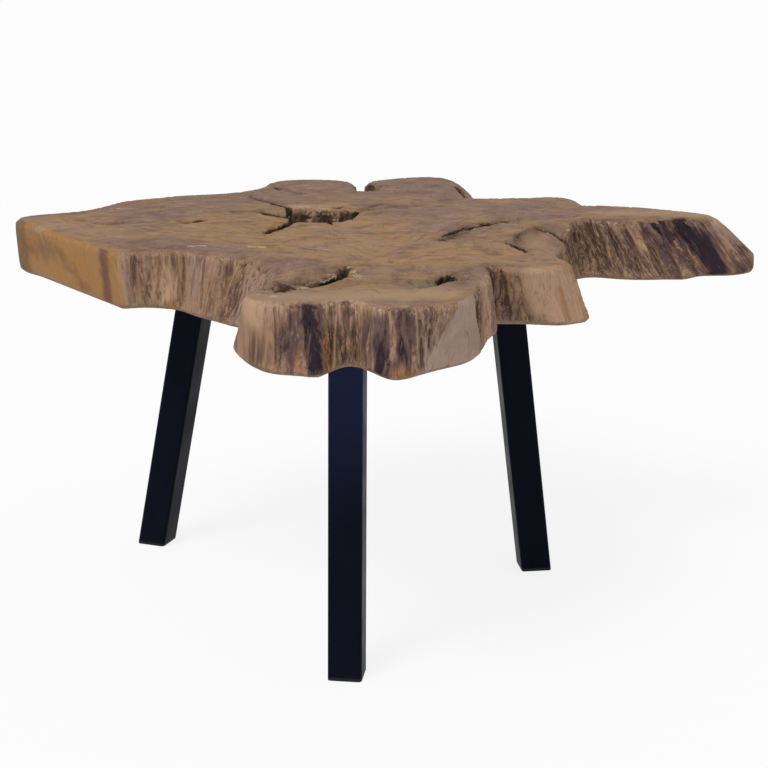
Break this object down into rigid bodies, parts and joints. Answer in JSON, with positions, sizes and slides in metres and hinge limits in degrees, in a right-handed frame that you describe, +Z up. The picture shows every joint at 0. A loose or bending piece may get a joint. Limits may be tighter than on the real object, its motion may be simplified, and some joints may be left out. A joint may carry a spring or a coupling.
{
  "type": "coffee table",
  "caption": "Rustic coffee table: thick live-edge teak root slab with lobed outline, heart void and drying splits, on splayed black square-tube steel legs.",
  "frame": {"origin": "on the floor, under the middle of the table's bounding box", "axes": "+Z up, +X along the slab's longer side towards its narrow arm, -Y towards the front lobe"},
  "size_m": [0.9078, 0.8576, 0.45],
  "materials": {
    "teak": "oiled, sanded top and natural split sides",
    "black_powder_coat": "satin powder coat",
    "black_plastic": "moulded, matte",
    "zinc_steel": "zinc plated"
  },
  "bodies": {
    "root": {"teak_slab": "teak", "left_leg_tube": "black_powder_coat", "left_leg_plate": "black_powder_coat", "left_leg_weld": "black_powder_coat", "left_foot_cap": "black_plastic", "left_plate_screws": "zinc_steel", "front_leg_tube": "black_powder_coat", "front_leg_plate": "black_powder_coat", "front_leg_weld": "black_powder_coat", "front_foot_cap": "black_plastic", "front_plate_screws": "zinc_steel", "right_leg_tube": "black_powder_coat", "right_leg_plate": "black_powder_coat", "right_leg_weld": "black_powder_coat", "right_foot_cap": "black_plastic", "right_plate_screws": "zinc_steel"}
  },
  "joints": []
}
